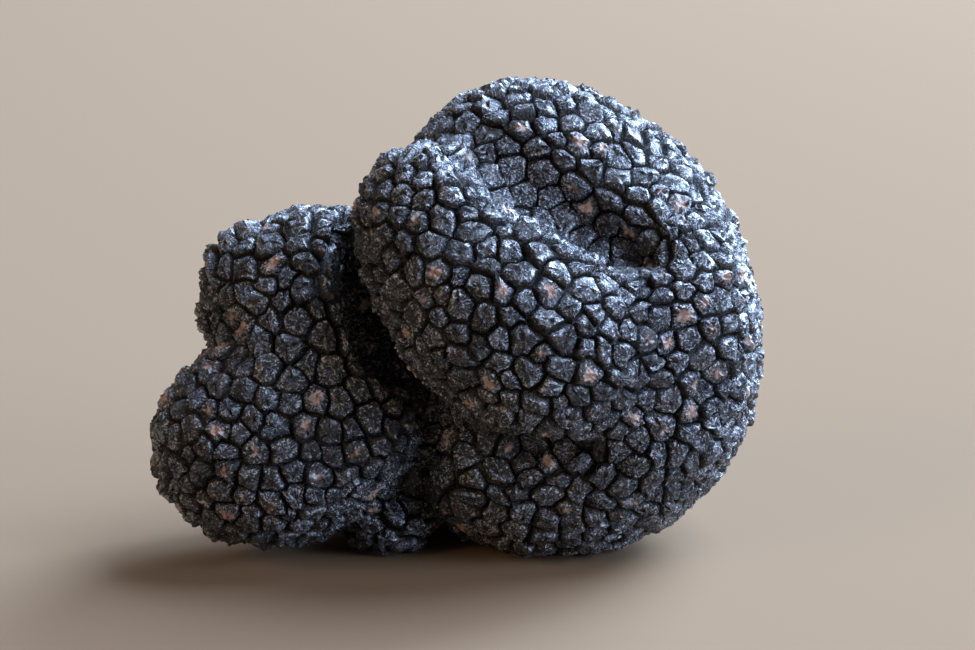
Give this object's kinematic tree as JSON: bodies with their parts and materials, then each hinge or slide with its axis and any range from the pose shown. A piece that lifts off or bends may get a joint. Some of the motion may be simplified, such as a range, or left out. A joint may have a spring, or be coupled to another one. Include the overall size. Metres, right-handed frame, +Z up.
{
  "type": "black truffle",
  "caption": "Lobed black truffle under a skin of small many-sided warts, with a deep fold between its side arm and its main body, resting on three small low flats.",
  "frame": {"origin": "the point on the table under the middle of the truffle's bounding box", "axes": "+X to the right as the picture sees it, along the longest side; +Y away from the viewer; +Z up"},
  "size_m": [0.0662, 0.0478, 0.05],
  "materials": {
    "skin": "rough, near-black, with a blue-grey cast, brown grooves and a little pale dust"
  },
  "bodies": {
    "root": {"truffle": "skin"}
  },
  "joints": []
}
